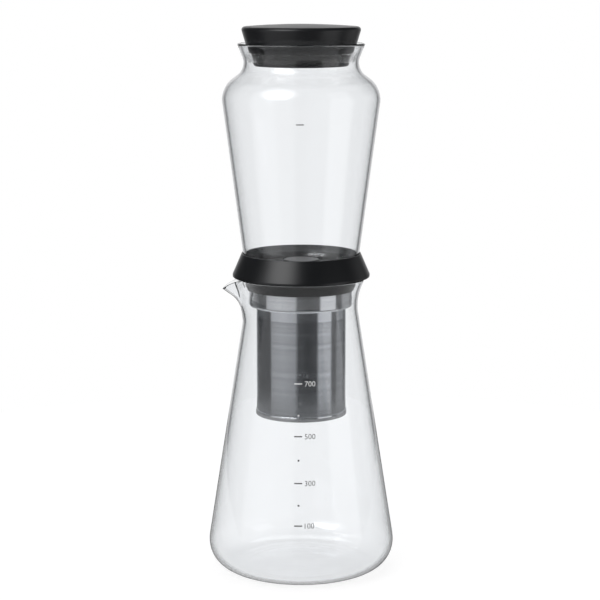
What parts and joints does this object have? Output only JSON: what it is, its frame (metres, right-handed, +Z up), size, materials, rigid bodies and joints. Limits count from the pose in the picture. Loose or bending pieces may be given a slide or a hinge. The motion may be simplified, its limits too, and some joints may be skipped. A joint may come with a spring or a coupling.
{
  "type": "cold drip coffee tower",
  "caption": "Glass jug with a pulled spout, a black holder ring, a long steel mesh basket, a glass water bowl with a drip unit in its floor, and a domed lid.",
  "frame": {"origin": "centre of the jug's foot, on the table", "axes": "+Z up along the axis of the stack, -X towards the pouring spout, -Y towards the viewer"},
  "size_m": [0.1416, 0.1416, 0.415],
  "materials": {
    "clear_glass": "clear blown heatproof glass, fire-polished rims",
    "black_plastic": "satin black moulded plastic",
    "polished_steel": "bright stainless sheet with fine drawing lines",
    "mesh_steel": "fine etched stainless mesh",
    "silicone": "milky silicone",
    "clear_silicone": "translucent silicone",
    "grey_lid": "satin dark grey moulded plastic"
  },
  "bodies": {
    "jug": {"glass_jug": "clear_glass"},
    "holder": {"holder_ring": "black_plastic"},
    "strainer": {"strainer_collar": "polished_steel", "strainer_mesh": "mesh_steel", "strainer_base_ring": "polished_steel", "strainer_base_mesh": "mesh_steel"},
    "spreader": {"spreader": "polished_steel"},
    "bowl": {"glass_bowl": "clear_glass", "drip_bush": "silicone", "drip_nozzle": "black_plastic", "drip_filter": "mesh_steel", "drip_cap": "black_plastic", "drip_washer": "silicone", "drip_nut": "black_plastic"},
    "lid": {"lid_cap": "grey_lid", "lid_plug": "grey_lid", "lid_seal_ring": "clear_silicone"}
  },
  "joints": [
    {"name": "holder_lift", "type": "slide", "parent": "jug", "child": "holder", "axis": [0, 0, 1], "range_m": [0, 0.115]},
    {"name": "strainer_lift", "type": "slide", "parent": "holder", "child": "strainer", "axis": [0, 0, 1], "range_m": [0, 0.125]},
    {"name": "spreader_lift", "type": "slide", "parent": "strainer", "child": "spreader", "axis": [0, 0, 1], "range_m": [0, 0.03]},
    {"name": "bowl_lift", "type": "slide", "parent": "spreader", "child": "bowl", "axis": [0, 0, 1], "range_m": [0, 0.035]},
    {"name": "lid_lift", "type": "slide", "parent": "bowl", "child": "lid", "axis": [0, 0, 1], "range_m": [0, 0.03]}
  ]
}
